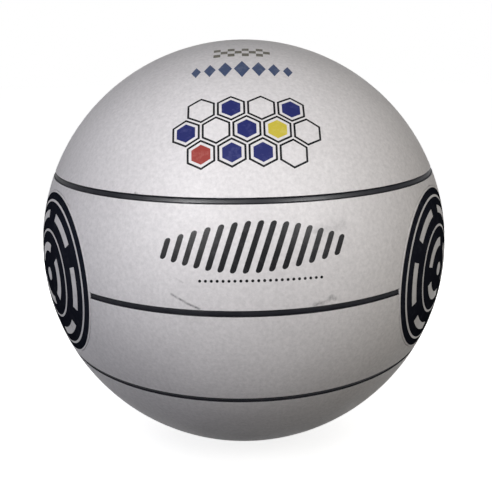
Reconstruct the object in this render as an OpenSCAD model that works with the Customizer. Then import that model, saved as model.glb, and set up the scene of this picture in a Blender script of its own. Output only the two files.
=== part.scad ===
// Fistball: glued cover panels and seam ribs over a wound rubber carcass, with a two-piece needle valve.
// +Z is the polar axis, the valve is at the north pole, and the front field between two discs faces -Y.

/* [Ball] */
// Outside diameter of the inflated ball
ball_d = 212; // [207:0.5:216]
// Thickness of a cover panel with its backing
cover_t = 1.4; // [1.1:0.1:2.5]
// Wall of the rubber carcass
carcass_t = 0.5; // [0.4:0.1:1.2]
// Wall of the wound nylon layer
winding_t = 0.3; // [0.2:0.05:0.8]
// Wall of the bladder
bladder_t = 0.5; // [0.3:0.05:1.2]
// Adhesive film between one layer and the next
bond = 0.1; // [0.08:0.01:0.2]

/* [Seams] */
// Angle of the upper and lower seams from the equator
seam_angle = 24; // [20:0.5:30]
// Width of a seam rib
rib_w = 1.9; // [1.5:0.1:4]
// Depth of a rib's face below the cover
rib_recess = 0.4; // [0.2:0.05:0.7]
// Clearance at each side of a rib
rib_gap = 0.1; // [0.05:0.01:0.2]
// Bevel on the panel edges beside a rib
rib_bevel = 0.3; // [0.2:0.05:0.9]
// Gap where two panels butt without a rib
butt_gap = 0.2; // [0.1:0.05:0.4]
// Bevel on the panel edges that butt
butt_bevel = 0.2; // [0.1:0.05:0.5]
// Strip of band panel left between a side disc and the upper or lower seam
disc_margin = 3.6; // [1:0.1:6]

/* [Valve plug] */
// Radius of the needle hole
needle_r = 1.1; // [0.9:0.05:1.4]
// Wall of the plug's stem around the needle hole
stem_wall = 1.1; // [0.8:0.1:2]
// Length of the plug's stem below its head
stem_l = 11; // [8:0.5:16]
// Closed end of the stem below the needle hole
tip_l = 3.3; // [2:0.1:5]
// Width of the head's lip around the stem
head_lip = 0.9; // [0.5:0.1:1.5]
// Thickness of the plug's head
head_t = 1.3; // [0.8:0.1:2]
// Running clearance of the plug in its housing
plug_gap = 0.05; // [0.03:0.01:0.1]

/* [Valve housing] */
// Depth of the valve mouth below the cover
mouth_recess = 0.25; // [0.15:0.05:0.6]
// Wall of the neck around the plug's head
neck_wall = 1; // [0.6:0.1:2]
// Wall of the pocket around the plug's stem
pocket_wall = 2.2; // [1:0.1:4]
// Radius of the flange that seals on the patch
flange_r = 13; // [10:0.5:18]
// Thickness of the flange
flange_t = 0.9; // [0.6:0.1:2]
// Clearance of the neck in the holes through the layers
hole_gap = 0.15; // [0.1:0.05:0.4]

/* [Patches] */
// Width of the valve patch beyond the flange
patch_border = 7; // [3:0.5:15]
// Thickness of the valve patch
patch_t = 0.6; // [0.4:0.1:1.5]
// Radius of the balance patch opposite the valve
balance_r = 20; // [12:0.5:30]
// Thickness of the balance patch
balance_t = 2.2; // [1:0.1:4]

/* [Hidden] */
$fn = 96;

// Fields about the polar axis, each centred between two side discs
fields = [0, 1, 2];
field_span = 360 / len(fields);
// A field's longitude is 0 at the front, where the ball faces -Y
front_turn = -90;

// Radii of the layers, from the outside in
cover_out = ball_d / 2;
cover_in = cover_out - cover_t;
carcass_out = cover_in - bond;
carcass_in = carcass_out - carcass_t;
winding_out = carcass_in - bond;
winding_in = winding_out - winding_t;
bladder_out = winding_in - bond;
bladder_in = bladder_out - bladder_t;
patch_out = bladder_in - bond;
patch_in = patch_out - patch_t;
flange_out = patch_in - bond;
rib_out = cover_out - rib_recess;
far = ball_d;

// Angle that an arc of a given length spans on the cover
function arc(length) = length / cover_out * 180 / PI;
channel_half = arc(rib_w / 2 + rib_gap);
rib_half = arc(rib_w / 2);
disc_half = seam_angle - channel_half - arc(disc_margin + butt_gap);
rib_span = field_span - 2 * disc_half - arc(4 * butt_gap);
panel_span = field_span - arc(butt_gap);

// Valve levels and radii
mouth_z = cover_out - mouth_recess;
seat_z = mouth_z - head_t;
tip_z = seat_z - stem_l;
stem_r = needle_r + stem_wall;
head_r = stem_r + head_lip;
neck_r = head_r + plug_gap + neck_wall;
pocket_r = stem_r + plug_gap + pocket_wall;
hole_r = neck_r + hole_gap;

shell_white = [0.84, 0.83, 0.86];
rib_black = [0.06, 0.06, 0.07];
disc_black = [0.05, 0.05, 0.06];
carcass_grey = [0.22, 0.22, 0.23];
winding_cream = [0.86, 0.83, 0.74];
bladder_black = [0.1, 0.1, 0.1];
patch_grey = [0.3, 0.3, 0.32];
valve_grey = [0.16, 0.16, 0.17];
plug_black = [0.08, 0.08, 0.09];

// Point in the profile plane at a latitude and a distance from the ball's centre
function at(latitude, radius) = [radius * cos(latitude), radius * sin(latitude)];

// Profile of a layer between two latitudes
module layer_profile(low, high, inner, outer) {
    intersection() {
        difference() {
            circle(outer);
            circle(inner);
        }
        polygon([[0, 0], at(low, far), at((low + high) / 2, far), at(high, far)]);
    }
}

// Corner that a bevel takes off a panel's outer edge; side is 1 where the panel lies above the edge
module bevel_profile(edge, side, bevel) {
    low_end = at(edge, cover_out - bevel);
    high_end = at(edge + side * arc(bevel), cover_out);
    overrun = high_end - low_end;
    polygon([low_end - overrun, high_end + overrun, at(edge - side * arc(bevel), cover_out + bevel)]);
}

// Round panel about +Z, from its pole down to an edge latitude
module round_panel(edge, bevel) {
    rotate_extrude() difference() {
        layer_profile(edge, 90, cover_in, cover_out);
        bevel_profile(edge, 1, bevel);
    }
}

// Turns a shape about +Z to point out through the middle of the disc after a field
module at_disc(field) {
    rotate([90, 0, (field + 0.5) * field_span]) children();
}

// Hole that a side disc takes out of the band panels, with its bevelled rim
module disc_hole() {
    edge = 90 - disc_half - arc(butt_gap);
    rim = at(edge, cover_out - butt_bevel);
    flare = at(edge - arc(butt_bevel), cover_out) - rim;
    rotate_extrude() polygon([[0, 0], rim, rim + 2 * flare, [rim.x + 2 * flare.x, far], [0, far]]);
}

// Band panel above the equator, from the middle of one side disc to the middle of the next
module band_panel(field) {
    difference() {
        rotate([0, 0, front_turn + field * field_span - panel_span / 2])
            rotate_extrude(angle = panel_span) difference() {
                layer_profile(channel_half, seam_angle - channel_half, cover_in, cover_out);
                bevel_profile(channel_half, 1, rib_bevel);
                bevel_profile(seam_angle - channel_half, -1, rib_bevel);
            }
        at_disc(field) disc_hole();
        at_disc(field - 1) disc_hole();
    }
}

// Profile of a rib that fills a seam and stops short of the cover
module rib_profile(latitude) {
    layer_profile(latitude - rib_half, latitude + rib_half, cover_in, rib_out);
}

// Closed layer with the hole that the valve's neck passes through
module layer(inner, outer) {
    difference() {
        sphere(outer);
        sphere(inner);
        cylinder(r = hole_r, h = far);
    }
}

// Round patch that lies against the inside of the bladder at the north pole
module pole_patch(radius, inner, outer) {
    intersection() {
        difference() {
            sphere(outer);
            sphere(inner);
        }
        cylinder(r = radius, h = far);
    }
}

module north_cap_panel() {
    color(shell_white) difference() {
        round_panel(seam_angle + channel_half, rib_bevel);
        cylinder(r = hole_r, h = far);
    }
}

module south_cap_panel() {
    color(shell_white) mirror([0, 0, 1]) round_panel(seam_angle + channel_half, rib_bevel);
}

module upper_band_panel(field) {
    color(shell_white) band_panel(field);
}

module lower_band_panel(field) {
    color(shell_white) mirror([0, 0, 1]) band_panel(field);
}

module side_disc_panel(field) {
    color(disc_black) at_disc(field) round_panel(90 - disc_half, butt_bevel);
}

module upper_seam_rib() {
    color(rib_black) rotate_extrude() rib_profile(seam_angle);
}

module lower_seam_rib() {
    color(rib_black) rotate_extrude() rib_profile(-seam_angle);
}

module equator_seam_rib(field) {
    color(rib_black) rotate([0, 0, front_turn + field * field_span - rib_span / 2])
        rotate_extrude(angle = rib_span) rib_profile(0);
}

module rubber_carcass() {
    color(carcass_grey) layer(carcass_in, carcass_out);
}

module nylon_winding() {
    color(winding_cream) layer(winding_in, winding_out);
}

module bladder() {
    color(bladder_black) layer(bladder_in, bladder_out);
}

module valve_patch() {
    color(patch_grey) difference() {
        pole_patch(flange_r + patch_border, patch_in, patch_out);
        cylinder(r = hole_r, h = far);
    }
}

module balance_patch() {
    color(patch_grey) mirror([0, 0, 1]) pole_patch(balance_r, patch_out - balance_t, patch_out);
}

// Rubber boot: a neck through the layers, a flange under the patch and a pocket around the stem
module valve_housing() {
    neck_z = flange_out - flange_t;
    color(valve_grey) difference() {
        union() {
            pole_patch(flange_r, neck_z, flange_out);
            translate([0, 0, neck_z]) cylinder(r = neck_r, h = mouth_z - neck_z);
            translate([0, 0, tip_z]) cylinder(r = pocket_r, h = neck_z - tip_z);
        }
        cylinder(r = stem_r + plug_gap, h = far);
        translate([0, 0, seat_z - plug_gap]) cylinder(r = head_r + plug_gap, h = far);
    }
}

// Plug that is pulled out for service, with a needle hole that stops at its pinched tip
module valve_plug() {
    color(plug_black) difference() {
        union() {
            translate([0, 0, seat_z]) cylinder(r = head_r, h = head_t);
            translate([0, 0, tip_z]) cylinder(r = stem_r, h = stem_l);
        }
        translate([0, 0, tip_z + tip_l]) cylinder(r = needle_r, h = far);
    }
}

north_cap_panel();
south_cap_panel();
for (field = fields) {
    upper_band_panel(field);
    lower_band_panel(field);
    side_disc_panel(field);
    equator_seam_rib(field);
}
upper_seam_rib();
lower_seam_rib();
rubber_carcass();
nylon_winding();
bladder();
valve_patch();
balance_patch();
valve_housing();
valve_plug();
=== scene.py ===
"""Fistball: cover panels, seam ribs, printed marks and a needle valve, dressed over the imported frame."""

import logging
import math
from collections.abc import Callable, Sequence
from dataclasses import dataclass
from enum import Enum, IntEnum
from typing import ClassVar

import bmesh
import bpy
from bmesh.types import BMesh, BMVert
from bpy.types import Material, Node, NodeSocket, Object, World
from mathutils import Matrix, Vector


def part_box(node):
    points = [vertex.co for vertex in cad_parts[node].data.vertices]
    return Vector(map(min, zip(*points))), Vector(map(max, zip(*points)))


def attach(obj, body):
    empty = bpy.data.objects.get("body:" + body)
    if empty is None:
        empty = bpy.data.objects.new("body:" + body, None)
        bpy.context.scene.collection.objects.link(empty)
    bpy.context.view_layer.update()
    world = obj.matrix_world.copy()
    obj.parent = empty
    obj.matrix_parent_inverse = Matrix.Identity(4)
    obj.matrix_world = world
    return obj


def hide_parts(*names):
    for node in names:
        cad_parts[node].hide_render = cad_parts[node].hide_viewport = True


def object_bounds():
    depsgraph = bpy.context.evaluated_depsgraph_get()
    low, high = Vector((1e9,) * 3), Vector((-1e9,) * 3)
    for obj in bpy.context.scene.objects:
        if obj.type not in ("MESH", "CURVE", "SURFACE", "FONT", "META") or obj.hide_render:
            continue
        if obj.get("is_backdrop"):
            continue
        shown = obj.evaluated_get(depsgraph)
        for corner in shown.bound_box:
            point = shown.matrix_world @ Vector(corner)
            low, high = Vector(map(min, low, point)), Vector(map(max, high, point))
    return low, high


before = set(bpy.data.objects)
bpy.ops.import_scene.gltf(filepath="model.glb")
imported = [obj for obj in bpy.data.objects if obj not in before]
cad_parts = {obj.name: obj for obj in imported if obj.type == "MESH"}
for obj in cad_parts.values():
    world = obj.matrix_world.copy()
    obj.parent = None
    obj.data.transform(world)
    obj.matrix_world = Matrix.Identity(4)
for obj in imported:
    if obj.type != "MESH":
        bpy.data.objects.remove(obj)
CAD_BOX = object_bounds()
LOG = logging.getLogger("fistball")

# Pieces are drawn in millimetres and scaled to metres when they are placed
MM = 0.001
# Points closer than this become one, and points this close to a cutting plane lie on it, in millimetres
MERGE, ON_PLANE = 0.004, 0.001
# Edges that bend more than this are shaded sharp
SHARP_ANGLE = math.radians(38)
# Largest angle between profile points on the cover's face and on its hidden inner side, in degrees
FACE_STEP, INNER_STEP = 1.5, 3.0
# Steps of a rolled edge, and the place beyond it of a loop that keeps the face smooth, in radii of the roll
ROLL_STEPS, ROLL_REACH = 5, 1.6
# Frame of the photograph, in pixels
IMAGE_WIDTH, IMAGE_HEIGHT = 492, 484

Point = tuple[float, float]
Cell = tuple[int, int]
Tint = tuple[float, float, float]
Colour = tuple[float, float, float, float]


class Body(Enum):
    """Bodies of the frame that the pieces ride on."""

    BALL = "ball"
    PLUG = "plug"


class Slot(Enum):
    """Material slots of the record, listed with the dressed pieces."""

    COVER = "cover_skin"
    DISC = "disc_skin"
    SEAM = "seam_rubber"
    WINDING = "winding_yarn"
    HOUSING = "housing_rubber"
    PLUG = "plug_rubber"
    CHARCOAL = "print_charcoal"
    NAVY = "print_navy"
    GREY = "print_grey"
    YELLOW = "print_yellow"
    RED = "print_red"


class Coat(IntEnum):
    """Material numbers of a cover panel: bare skin, the dark of a seam or a disc, and a disc's rings."""

    SKIN = 0
    DARK = 1
    RING = 2


class Hemisphere(Enum):
    """Half of the ball that a cap, a band or a rib lies in, as the sign of its height."""

    UPPER = 1
    LOWER = -1


def tone(red: float, green: float, blue: float) -> Colour:
    """Turns a screen colour into a linear one, by the standard curve of screens.

    Args:
        red: Red from 0 to 255.
        green: Green from 0 to 255.
        blue: Blue from 0 to 255.

    Returns:
        Linear red, green and blue, with an alpha of 1.
    """
    shares = [value / 255 for value in (red, green, blue)]
    linear = [s / 12.92 if s <= 0.04045 else ((s + 0.055) / 1.055) ** 2.4 for s in shares]
    return (*linear, 1.0)


def on_ball(longitude: float, latitude: float, radius: float = 1.0) -> Vector:
    """Point at a latitude and at a longitude that grows from the front towards +X, both in degrees."""
    lon, lat = math.radians(longitude), math.radians(latitude)
    return radius * Vector((math.cos(lat) * math.sin(lon), -math.cos(lat) * math.cos(lon), math.sin(lat)))


def latitude_of(point: Vector) -> float:
    """Latitude of a point in degrees."""
    return math.degrees(math.asin(point.z / point.length))


@dataclass(frozen=True)
class BallSizes:
    """Sizes that the panels and ribs share, in millimetres and degrees."""

    radius: float
    cover_t: float = 1.4
    seam_angle: float = 24.0
    rib_w: float = 1.9
    rib_recess: float = 0.4
    rib_gap: float = 0.1
    butt_gap: float = 0.2
    disc_margin: float = 3.6
    fields: int = 3

    @classmethod
    def from_frame(cls) -> "BallSizes":
        """Reads the ball's radius from the frame."""
        return cls(radius=-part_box("south_cap_panel")[0].z / MM)

    @property
    def cover_in(self) -> float:
        """Radius of the cover's inner face."""
        return self.radius - self.cover_t

    @property
    def field_span(self) -> float:
        """Angle that one field takes about the polar axis."""
        return 360 / self.fields

    @property
    def channel_half(self) -> float:
        """Angle from a seam's middle to the panel beside it."""
        return self.arc(self.rib_w / 2 + self.rib_gap)

    @property
    def disc_half(self) -> float:
        """Angle from a side disc's middle to its edge."""
        return self.seam_angle - self.channel_half - self.arc(self.disc_margin + self.butt_gap)

    @property
    def bay_half(self) -> float:
        """Angle from a side disc's middle to the edge of the bay that it lies in."""
        return self.disc_half + self.arc(self.butt_gap)

    def arc(self, length: float) -> float:
        """Angle in degrees that a length spans on the cover."""
        return math.degrees(length / self.radius)

    def field_turn(self, index: int) -> Matrix:
        """Turn that takes the front field to another one."""
        return Matrix.Rotation(math.radians(index * self.field_span), 4, "Z")

    def disc_turn(self, index: int) -> Matrix:
        """Turn that takes a shape about +Z to the side disc after a field."""
        longitude = math.radians((index + 0.5) * self.field_span)
        return Matrix.Rotation(longitude, 4, "Z") @ Matrix.Rotation(math.radians(90), 4, "X")


class NodeSheet:
    """Node tree of one material or world, with short calls that add and link its nodes."""

    # Sockets of a colour mix, by number because their names repeat
    MIX_FACTOR, MIX_FIRST, MIX_SECOND, MIX_RESULT = 0, 6, 7, 2

    def __init__(self, owner: Material | World) -> None:
        """Empties a node tree.

        Args:
            owner: The material or world that the tree belongs to.
        """
        owner.use_nodes = True
        self.tree = owner.node_tree
        self.tree.nodes.clear()

    def add(self, kind: str, inputs: dict[str | int, object] | None = None, **settings: object) -> Node:
        """Adds a node.

        Args:
            kind: Blender's name for the node, without the leading ShaderNode.
            inputs: Values or sockets for the node's inputs, by name or number.
            settings: Properties of the node.

        Returns:
            The new node.
        """
        node = self.tree.nodes.new("ShaderNode" + kind)
        for name, value in settings.items():
            setattr(node, name, value)
        for key, value in (inputs or {}).items():
            if isinstance(value, NodeSocket):
                self.tree.links.new(value, node.inputs[key])
            else:
                node.inputs[key].default_value = value
        return node

    def place(self) -> NodeSocket:
        """Object coordinates, in metres."""
        return self.add("TexCoord").outputs["Object"]

    def noise(self, scale: float, detail: float, roughness: float) -> NodeSocket:
        """Noise from 0 to 1 over the object, by features to the metre, finer octaves and their weight."""
        inputs = {"Vector": self.place(), "Scale": scale, "Detail": detail, "Roughness": roughness}
        return self.add("TexNoise", inputs).outputs[0]

    def ramp(self, value: NodeSocket, low: float, high: float, start: float, end: float) -> NodeSocket:
        """Value mapped from the limits low and high to the range from start to end, held at its ends."""
        limits = {"From Min": low, "From Max": high, "To Min": start, "To Max": end}
        return self.add("MapRange", {"Value": value, **limits}).outputs[0]

    def calc(self, operation: str, first: object, second: object, clamp: bool = False) -> NodeSocket:
        """Result of a math node on two values."""
        return self.add("Math", {0: first, 1: second}, operation=operation, use_clamp=clamp).outputs[0]

    def vector(self, operation: str, first: object, second: object, output: str = "Vector") -> NodeSocket:
        """Result of a vector math node on two vectors."""
        return self.add("VectorMath", {0: first, 1: second}, operation=operation).outputs[output]

    def mix(self, factor: object, first: object, second: object) -> NodeSocket:
        """Colour between two colours, by a factor from 0 to 1."""
        inputs = {self.MIX_FACTOR: factor, self.MIX_FIRST: first, self.MIX_SECOND: second}
        return self.add("Mix", inputs, data_type="RGBA").outputs[self.MIX_RESULT]

    def near_segment(self, start: Vector, end: Vector) -> NodeSocket:
        """Distance from a straight line between two points.

        Args:
            start: One end, in metres.
            end: The other end, in metres.

        Returns:
            The distance in metres.
        """
        along = end - start
        reach = self.vector("SUBTRACT", self.place(), start)
        length = self.vector("DOT_PRODUCT", reach, along, "Value")
        share = self.calc("MULTIPLY", length, 1 / along.length_squared, clamp=True)
        foot = self.add("VectorMath", {0: along, "Scale": share}, operation="SCALE").outputs["Vector"]
        return self.vector("DISTANCE", reach, foot, "Value")

    def surface(self, **sockets: object) -> None:
        """Ends a material in a principled surface.

        Args:
            sockets: Inputs of the surface by name, with underscores for spaces.
        """
        inputs = {name.replace("_", " "): value for name, value in sockets.items()}
        shader = self.add("BsdfPrincipled", inputs)
        self.add("OutputMaterial", {"Surface": shader.outputs[0]})


@dataclass(frozen=True)
class Mottle:
    """Unevenness of a surface: a noise's scale, octaves and weight, with its low and high limits."""

    scale: float
    detail: float
    roughness: float
    low: float = 0.3
    high: float = 0.7

    def spread(self, sheet: NodeSheet, start: float, end: float) -> NodeSocket:
        """Value over the surface, from start at the low limit to end at the high one."""
        noise = sheet.noise(self.scale, self.detail, self.roughness)
        return sheet.ramp(noise, self.low, self.high, start, end)


@dataclass(frozen=True)
class Grain:
    """Fine embossed grain of a skin or a rubber, in millimetres, with finer grit over its cells."""

    cell: float
    depth: float
    strength: float = 0.5
    grit_scale: float = 2.2
    grit_detail: float = 2.0
    grit_roughness: float = 0.6
    grit_weight: float = 0.45

    def bump(self, sheet: NodeSheet) -> NodeSocket:
        """Adds the grain to a node sheet.

        Args:
            sheet: Node sheet of the finish.

        Returns:
            The normal of the grained surface.
        """
        pitch = self.cell * MM
        inputs = {"Vector": sheet.place(), "Scale": 1 / pitch}
        cells = sheet.add("TexVoronoi", inputs, feature="SMOOTH_F1").outputs["Distance"]
        grit = sheet.noise(self.grit_scale / pitch, self.grit_detail, self.grit_roughness)
        height = sheet.calc("ADD", cells, sheet.calc("MULTIPLY", grit, self.grit_weight))
        relief = {"Strength": self.strength, "Distance": self.depth * MM, "Height": height}
        return sheet.add("Bump", relief).outputs[0]


@dataclass(frozen=True)
class Scuff:
    """Worn mark on the cover: longitudes and latitudes along it, its reach in millimetres and its weight."""

    path: tuple[Point, ...]
    reach: float
    weight: float


class Finish:
    """Base of the finishes: each one has a title and makes its material once."""

    made: ClassVar[dict["Finish", Material]] = {}
    title: str

    def draw(self, sheet: NodeSheet) -> None:
        """Draws the finish's nodes."""
        raise NotImplementedError

    def material(self) -> Material:
        """Gives the finish's material, made at its first use.

        Returns:
            The material.
        """
        if self not in Finish.made:
            Finish.made[self] = bpy.data.materials.new(self.title)
            self.draw(NodeSheet(Finish.made[self]))
        return Finish.made[self]


@dataclass(frozen=True)
class CoverFinish(Finish):
    """Satin composite skin with a fine grain, soft clouding, specks of grime and a few scuffs."""

    title: str
    light: Colour
    dark: Colour
    grime: Colour
    grain: Grain
    radius: float
    scuffs: tuple[Scuff, ...]
    cloud: Mottle = Mottle(19.0, 4.0, 0.55, 0.32, 0.68)
    speck: Mottle = Mottle(620.0, 3.0, 0.65)
    speck_weight: float = 0.20
    breaks: Mottle = Mottle(520.0, 3.0, 0.7, 0.34, 0.62)
    faintest: float = 0.25
    gloss: Mottle = Mottle(45.0, 3.0, 0.6)
    roughness: Point = (0.46, 0.58)
    specular: float = 0.05

    def draw(self, sheet: NodeSheet) -> None:
        """Draws the skin's colour, marks, gloss and grain.

        Args:
            sheet: The skin's node sheet.
        """
        colour = sheet.mix(self.cloud.spread(sheet, 0.0, 1.0), self.light, self.dark)
        colour = sheet.mix(self.speck.spread(sheet, 0.0, self.speck_weight), colour, self.grime)
        for scuff in self.scuffs:
            colour = sheet.mix(self.mask(sheet, scuff), colour, self.grime)
        sheet.surface(Base_Color=colour, Roughness=self.gloss.spread(sheet, *self.roughness),
                      Specular_IOR_Level=self.specular, Normal=self.grain.bump(sheet))

    def mask(self, sheet: NodeSheet, scuff: Scuff) -> NodeSocket:
        """Strength of a scuff over the surface.

        Args:
            sheet: The skin's node sheet.
            scuff: The mark.

        Returns:
            A factor from 0 to the scuff's weight.
        """
        spots = [on_ball(*spot, self.radius * MM) for spot in scuff.path]
        nearest: object = 1.0
        for start, end in zip(spots, spots[1:]):
            nearest = sheet.calc("MINIMUM", nearest, sheet.near_segment(start, end))
        fade = sheet.ramp(nearest, 0.0, scuff.reach * MM, 1.0, 0.0)
        broken = self.breaks.spread(sheet, self.faintest, 1.0)
        return sheet.calc("MULTIPLY", sheet.calc("MULTIPLY", fade, broken), scuff.weight)


@dataclass(frozen=True)
class PatchyFinish(Finish):
    """Grained finish whose colour turns into a second one in patches."""

    title: str
    colour: Colour
    second: Colour
    grain: Grain
    patches: Mottle
    patch_weight: float
    gloss: Mottle
    roughness: Point
    specular: float
    sheen: float = 0.0

    def draw(self, sheet: NodeSheet) -> None:
        """Draws the finish's colour, gloss and grain.

        Args:
            sheet: The finish's node sheet.
        """
        colour = sheet.mix(self.patches.spread(sheet, 0.0, self.patch_weight), self.colour, self.second)
        sheet.surface(Base_Color=colour, Roughness=self.gloss.spread(sheet, *self.roughness),
                      Specular_IOR_Level=self.specular, Sheen_Weight=self.sheen,
                      Normal=self.grain.bump(sheet))


@dataclass(frozen=True)
class InkFinish(PatchyFinish):
    """Printed ink that follows the skin's grain, a little thin where the print is worn."""

    patches: Mottle = Mottle(260.0, 4.0, 0.65, 0.50, 0.74)
    patch_weight: float = 0.7
    gloss: Mottle = Mottle(90.0, 2.0, 0.5)
    roughness: Point = (0.40, 0.50)
    specular: float = 0.05


@dataclass(frozen=True)
class RubberFinish(PatchyFinish):
    """Moulded rubber with a dusty bloom and a fine matt grain."""

    patches: Mottle = Mottle(130.0, 4.0, 0.6, 0.42, 0.75)
    patch_weight: float = 0.6
    gloss: Mottle = Mottle(70.0, 2.0, 0.5)
    roughness: Point = (0.36, 0.5)
    specular: float = 0.03


@dataclass(frozen=True)
class YarnFinish(PatchyFinish):
    """Nylon yarn with a fibrous grain, darker where adhesive has soaked in."""

    patches: Mottle = Mottle(55.0, 4.0, 0.6, 0.42, 0.72)
    patch_weight: float = 0.85
    gloss: Mottle = Mottle(300.0, 2.0, 0.5)
    roughness: Point = (0.6, 0.75)
    specular: float = 0.5
    sheen: float = 0.2


class Lathe:
    """Profile points about +Z and the bodies turned from them."""

    def __init__(self, sizes: BallSizes) -> None:
        """Keeps the ball's sizes."""
        self.sizes = sizes

    @staticmethod
    def polar(latitude: float, radius: float) -> Point:
        """Profile point at a latitude in degrees, as distance from the axis and height."""
        angle = math.radians(latitude)
        return radius * math.cos(angle), radius * math.sin(angle)

    def arc(self, start: float, end: float, radius: float, step: float = FACE_STEP) -> list[Point]:
        """Profile points from one latitude to another about the ball's centre, at most a step apart."""
        count = max(1, math.ceil(abs(end - start) / step))
        return [self.polar(start + (end - start) * i / count, radius) for i in range(count + 1)]

    def rolled_edge(self, edge: float, side: int, roll: float) -> list[Point]:
        """Quarter round from the cover's face to the wall at a panel's edge.

        Args:
            edge: Latitude of the edge.
            side: 1 where the panel lies above its edge, or -1.
            roll: Radius of the quarter round.

        Returns:
            Profile points from the face to the wall, with a point on the face that keeps it smooth.
        """
        radius = self.sizes.radius
        points = [self.polar(edge + side * self.sizes.arc(ROLL_REACH * roll), radius)]
        for step in range(ROLL_STEPS + 1):
            angle = math.radians(90 * step / ROLL_STEPS)
            inset = self.sizes.arc(roll * (1 - math.sin(angle)))
            points.append(self.polar(edge + side * inset, radius - roll * (1 - math.cos(angle))))
        return points

    @staticmethod
    def turn(outline: Sequence[Point], steps: int, closed: bool, sweep: float = 360.0) -> BMesh:
        """Spins an outline about +Z.

        Args:
            outline: Profile points.
            steps: Steps of the spin.
            closed: Whether the outline's last point joins its first.
            sweep: Angle of the spin in degrees, from +X towards +Y.

        Returns:
            The body, with its normals outwards and, for a closed outline, with its ends filled.
        """
        bm = bmesh.new()
        verts = [bm.verts.new((across, 0.0, height)) for across, height in outline]
        nexts = verts[1:] + verts[:1] if closed else verts[1:]
        edges = [bm.edges.new(pair) for pair in zip(verts, nexts)]
        bmesh.ops.spin(bm, geom=verts + edges, cent=(0, 0, 0), axis=(0, 0, 1),
                       angle=math.radians(sweep), steps=steps, use_merge=sweep == 360.0)
        bmesh.ops.remove_doubles(bm, verts=bm.verts, dist=MERGE)
        rims = [edge for edge in bm.edges if edge.is_boundary]
        if closed and rims:
            bmesh.ops.holes_fill(bm, edges=rims, sides=0)
        bmesh.ops.recalc_face_normals(bm, faces=bm.faces)
        return bm


def place(bm: BMesh, name: str, finishes: Sequence[Finish], slot: Slot, body: Body = Body.BALL,
          stands_for: Sequence[str] = ()) -> Object:
    """Makes an object from a mesh in millimetres and ties it to the frame.

    Args:
        bm: The mesh, which is freed.
        name: Name of the piece.
        finishes: Finishes in the order of the mesh's material numbers.
        slot: Slot of the record for the piece; not used.
        body: Body that the piece rides on.
        stands_for: Nodes of the frame that the piece takes the place of.

    Returns:
        The object.
    """
    bmesh.ops.scale(bm, vec=(MM, MM, MM), verts=bm.verts)
    mesh = bpy.data.meshes.new(name)
    bm.to_mesh(mesh)
    bm.free()
    for finish in finishes:
        mesh.materials.append(finish.material())
    mesh.shade_smooth()
    mesh.set_sharp_from_angle(angle=SHARP_ANGLE)
    piece = bpy.data.objects.new(name, mesh)
    bpy.context.scene.collection.objects.link(piece)
    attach(piece, body.value)
    if stands_for:
        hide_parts(*stands_for)
    LOG.info("%s: %d faces, rides on %s", name, len(mesh.polygons), body.value)
    return piece


def set_wall(bm: BMesh, radius: float) -> None:
    """Gives a sheet on the ball a wall that reaches in to a radius.

    Args:
        bm: The sheet, with its normals outwards.
        radius: Radius of the wall's inner face.
    """
    grown = bmesh.ops.extrude_face_region(bm, geom=bm.faces[:])
    for vert in (item for item in grown["geom"] if isinstance(item, BMVert)):
        vert.co = radius * vert.co.normalized()
    bmesh.ops.recalc_face_normals(bm, faces=bm.faces)


def cut_loop(bm: BMesh, point: Vector, normal: Vector, trim: bool = False) -> None:
    """Lays a loop where a plane meets a sheet, and can trim what lies beyond it."""
    parts = bm.verts[:] + bm.edges[:] + bm.faces[:]
    bmesh.ops.bisect_plane(bm, geom=parts, dist=ON_PLANE, plane_co=point, plane_no=normal, clear_outer=trim)


def mirror_down(bm: BMesh) -> None:
    """Mirrors a shape of the upper half into the lower one."""
    bmesh.ops.scale(bm, vec=(1, 1, -1), verts=bm.verts)
    bmesh.ops.recalc_face_normals(bm, faces=bm.faces)


@dataclass
class CoverCaps:
    """The two round panels about the poles, the upper one open for the valve."""

    sizes: BallSizes
    skin: Finish
    seam: Finish
    valve_hole: float = 4.3
    roll: float = 0.3
    # Degrees between an edge and the first plain point of the face
    clear: float = 1.0
    steps: int = 256

    def build(self, half: Hemisphere) -> BMesh:
        """Turns a cap.

        Args:
            half: Which cap.

        Returns:
            The cap's mesh.
        """
        lathe, sizes = Lathe(self.sizes), self.sizes
        edge = sizes.seam_angle + sizes.channel_half
        opened = half is Hemisphere.UPPER
        top = math.degrees(math.acos(self.valve_hole / sizes.radius)) if opened else 90.0
        outline = lathe.arc(top, edge, sizes.cover_in, INNER_STEP)
        outline += reversed(lathe.rolled_edge(edge, 1, self.roll))
        if opened:
            outline += lathe.arc(edge + self.clear, top - self.clear, sizes.radius)
            outline += lathe.rolled_edge(top, -1, self.roll)
        else:
            outline += lathe.arc(edge + self.clear, top, sizes.radius)
        bm = lathe.turn(outline, self.steps, closed=opened)
        inked = edge + sizes.arc(self.roll)
        for face in bm.faces:
            on_edge = latitude_of(face.calc_center_median()) < inked
            face.material_index = Coat.DARK if on_edge else Coat.SKIN
        if half is Hemisphere.LOWER:
            mirror_down(bm)
        return bm

    def dress(self) -> None:
        """Builds both caps and places them."""
        for half, name in ((Hemisphere.UPPER, "north_cap"), (Hemisphere.LOWER, "south_cap")):
            place(self.build(half), f"{name}_skin", [self.skin, self.seam], Slot.COVER,
                  stands_for=[f"{name}_panel"])


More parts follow.
